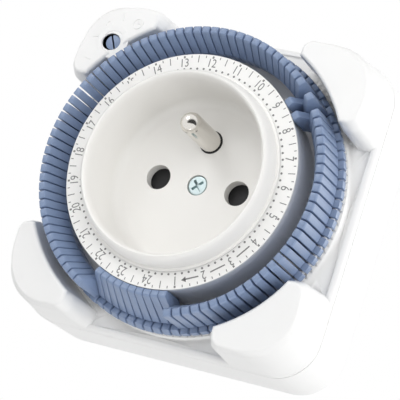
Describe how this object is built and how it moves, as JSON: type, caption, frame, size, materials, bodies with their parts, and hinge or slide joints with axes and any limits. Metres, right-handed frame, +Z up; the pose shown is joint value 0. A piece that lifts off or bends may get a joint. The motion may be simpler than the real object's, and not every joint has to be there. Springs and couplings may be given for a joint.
{
  "type": "plug in timer switch",
  "caption": "Mechanical plug in timer switch: square white case with corner guards, earth pin socket, turning hour dial ringed by tilting blue segments, and a round pin plug behind.",
  "frame": {"origin": "centre of the plug's end face, between its two pins", "axes": "+Y into the wall along the plug pins, +X to the right and +Z up as seen by the user in front of the wall"},
  "size_m": [0.071, 0.0725, 0.071],
  "materials": {
    "white_case": "fine matt moulded",
    "white_cup": "satin moulded",
    "drum_white": "satin moulded",
    "dial_white": "matt with grey print",
    "blue_plastic": "satin moulded",
    "black_plastic": "matt",
    "grey_insulator": "matt",
    "nickel": "bright nickel",
    "brass_contact": "plain stamped",
    "zinc_screw": "zinc plated",
    "motor_steel": "plain"
  },
  "bodies": {
    "housing": {"rear_housing": "white_case", "front_housing": "white_case", "housing_screws": "zinc_screw", "socket_cup": "white_cup", "centre_screw": "zinc_screw", "front_earth_pin": "nickel", "contact_carrier": "grey_insulator", "line_contact": "brass_contact", "neutral_contact": "brass_contact", "line_plug_pin": "nickel", "neutral_plug_pin": "nickel", "earth_sleeve": "brass_contact", "motor_case": "motor_steel", "trip_lever_pin": "motor_steel", "microswitch": "black_plastic"},
    "drum": {"program_drum": "drum_white", "dial_ring": "dial_white", "segments_off": "blue_plastic"},
    "pinion": {"motor_pinion": "grey_insulator"},
    "knob": {"mode_knob": "blue_plastic"},
    "trip": {"trip_lever": "grey_insulator"},
    "plunger": {"switch_plunger": "blue_plastic"},
    "shutter": {"safety_shutter": "black_plastic"},
    "segment_22_15": {"segment_22_15": "blue_plastic"},
    "segment_22_30": {"segment_22_30": "blue_plastic"},
    "segment_22_45": {"segment_22_45": "blue_plastic"},
    "segment_23_00": {"segment_23_00": "blue_plastic"},
    "segment_23_15": {"segment_23_15": "blue_plastic"},
    "segment_23_30": {"segment_23_30": "blue_plastic"},
    "segment_23_45": {"segment_23_45": "blue_plastic"},
    "segment_00_00": {"segment_00_00": "blue_plastic"},
    "segment_00_15": {"segment_00_15": "blue_plastic"},
    "segment_00_30": {"segment_00_30": "blue_plastic"},
    "segment_08_15": {"segment_08_15": "blue_plastic"},
    "segment_08_45": {"segment_08_45": "blue_plastic"}
  },
  "joints": [
    {"name": "drum_turn", "type": "hinge", "parent": "housing", "child": "drum", "pos_m": [0, -0.0385, 0], "axis": [0, 1, 0], "continuous": true},
    {"name": "pinion_turn", "type": "hinge", "parent": "housing", "child": "pinion", "pos_m": [0.01909, -0.0295, -0.01909], "axis": [0, 1, 0], "continuous": true},
    {"name": "knob_turn", "type": "hinge", "parent": "housing", "child": "knob", "pos_m": [-0.02676, -0.0385, 0.02584], "axis": [0, 1, 0], "range_deg": [-45, 45]},
    {"name": "trip_tilt", "type": "hinge", "parent": "housing", "child": "trip", "pos_m": [-0.02022, -0.027, 0.02845], "axis": [-0.8151, 0, -0.5793], "range_deg": [-3.5, 0], "stiffness_Nm_per_rad": 0.0005},
    {"name": "plunger_press", "type": "slide", "parent": "housing", "child": "plunger", "axis": [0, 1, 0], "range_m": [0, 0.0006], "stiffness_N_per_m": 50},
    {"name": "shutter_turn", "type": "hinge", "parent": "housing", "child": "shutter", "pos_m": [0, -0.035, 0], "axis": [0, 1, 0], "range_deg": [0, 45], "stiffness_Nm_per_rad": 0.001},
    {"name": "segment_22_15_tilt", "type": "hinge", "parent": "drum", "child": "segment_22_15", "pos_m": [-0.01243, -0.0382, -0.0297], "axis": [0.9225, 0, -0.386], "range_deg": [0, 23]},
    {"name": "segment_22_30_tilt", "type": "hinge", "parent": "drum", "child": "segment_22_30", "pos_m": [-0.01046, -0.0382, -0.03045], "axis": [0.9458, 0, -0.3248], "range_deg": [0, 23]},
    {"name": "segment_22_45_tilt", "type": "hinge", "parent": "drum", "child": "segment_22_45", "pos_m": [-0.00845, -0.0382, -0.03107], "axis": [0.965, 0, -0.2623], "range_deg": [0, 23]},
    {"name": "segment_23_00_tilt", "type": "hinge", "parent": "drum", "child": "segment_23_00", "pos_m": [-0.00639, -0.0382, -0.03156], "axis": [0.9801, 0, -0.1986], "range_deg": [0, 23]},
    {"name": "segment_23_15_tilt", "type": "hinge", "parent": "drum", "child": "segment_23_15", "pos_m": [-0.00432, -0.0382, -0.03191], "axis": [0.991, 0, -0.1341], "range_deg": [0, 23]},
    {"name": "segment_23_30_tilt", "type": "hinge", "parent": "drum", "child": "segment_23_30", "pos_m": [-0.00222, -0.0382, -0.03212], "axis": [0.9976, 0, -0.069], "range_deg": [0, 23]},
    {"name": "segment_23_45_tilt", "type": "hinge", "parent": "drum", "child": "segment_23_45", "pos_m": [-0.00012, -0.0382, -0.0322], "axis": [1, 0, -0.0036], "range_deg": [0, 23]},
    {"name": "segment_00_00_tilt", "type": "hinge", "parent": "drum", "child": "segment_00_00", "pos_m": [0.00199, -0.0382, -0.03214], "axis": [0.9981, 0, 0.0618], "range_deg": [0, 23]},
    {"name": "segment_00_15_tilt", "type": "hinge", "parent": "drum", "child": "segment_00_15", "pos_m": [0.00409, -0.0382, -0.03194], "axis": [0.9919, 0, 0.127], "range_deg": [0, 23]},
    {"name": "segment_00_30_tilt", "type": "hinge", "parent": "drum", "child": "segment_00_30", "pos_m": [0.00617, -0.0382, -0.0316], "axis": [0.9815, 0, 0.1916], "range_deg": [0, 23]},
    {"name": "segment_08_15_tilt", "type": "hinge", "parent": "drum", "child": "segment_08_15", "pos_m": [0.02562, -0.0382, 0.01951], "axis": [-0.6059, 0, 0.7955], "range_deg": [0, 23]},
    {"name": "segment_08_45_tilt", "type": "hinge", "parent": "drum", "child": "segment_08_45", "pos_m": [0.02285, -0.0382, 0.02269], "axis": [-0.7046, 0, 0.7096], "range_deg": [0, 23]}
  ],
  "couplings": [
    {"joint": "pinion_turn", "follows": "drum_turn", "ratio": -8}
  ]
}
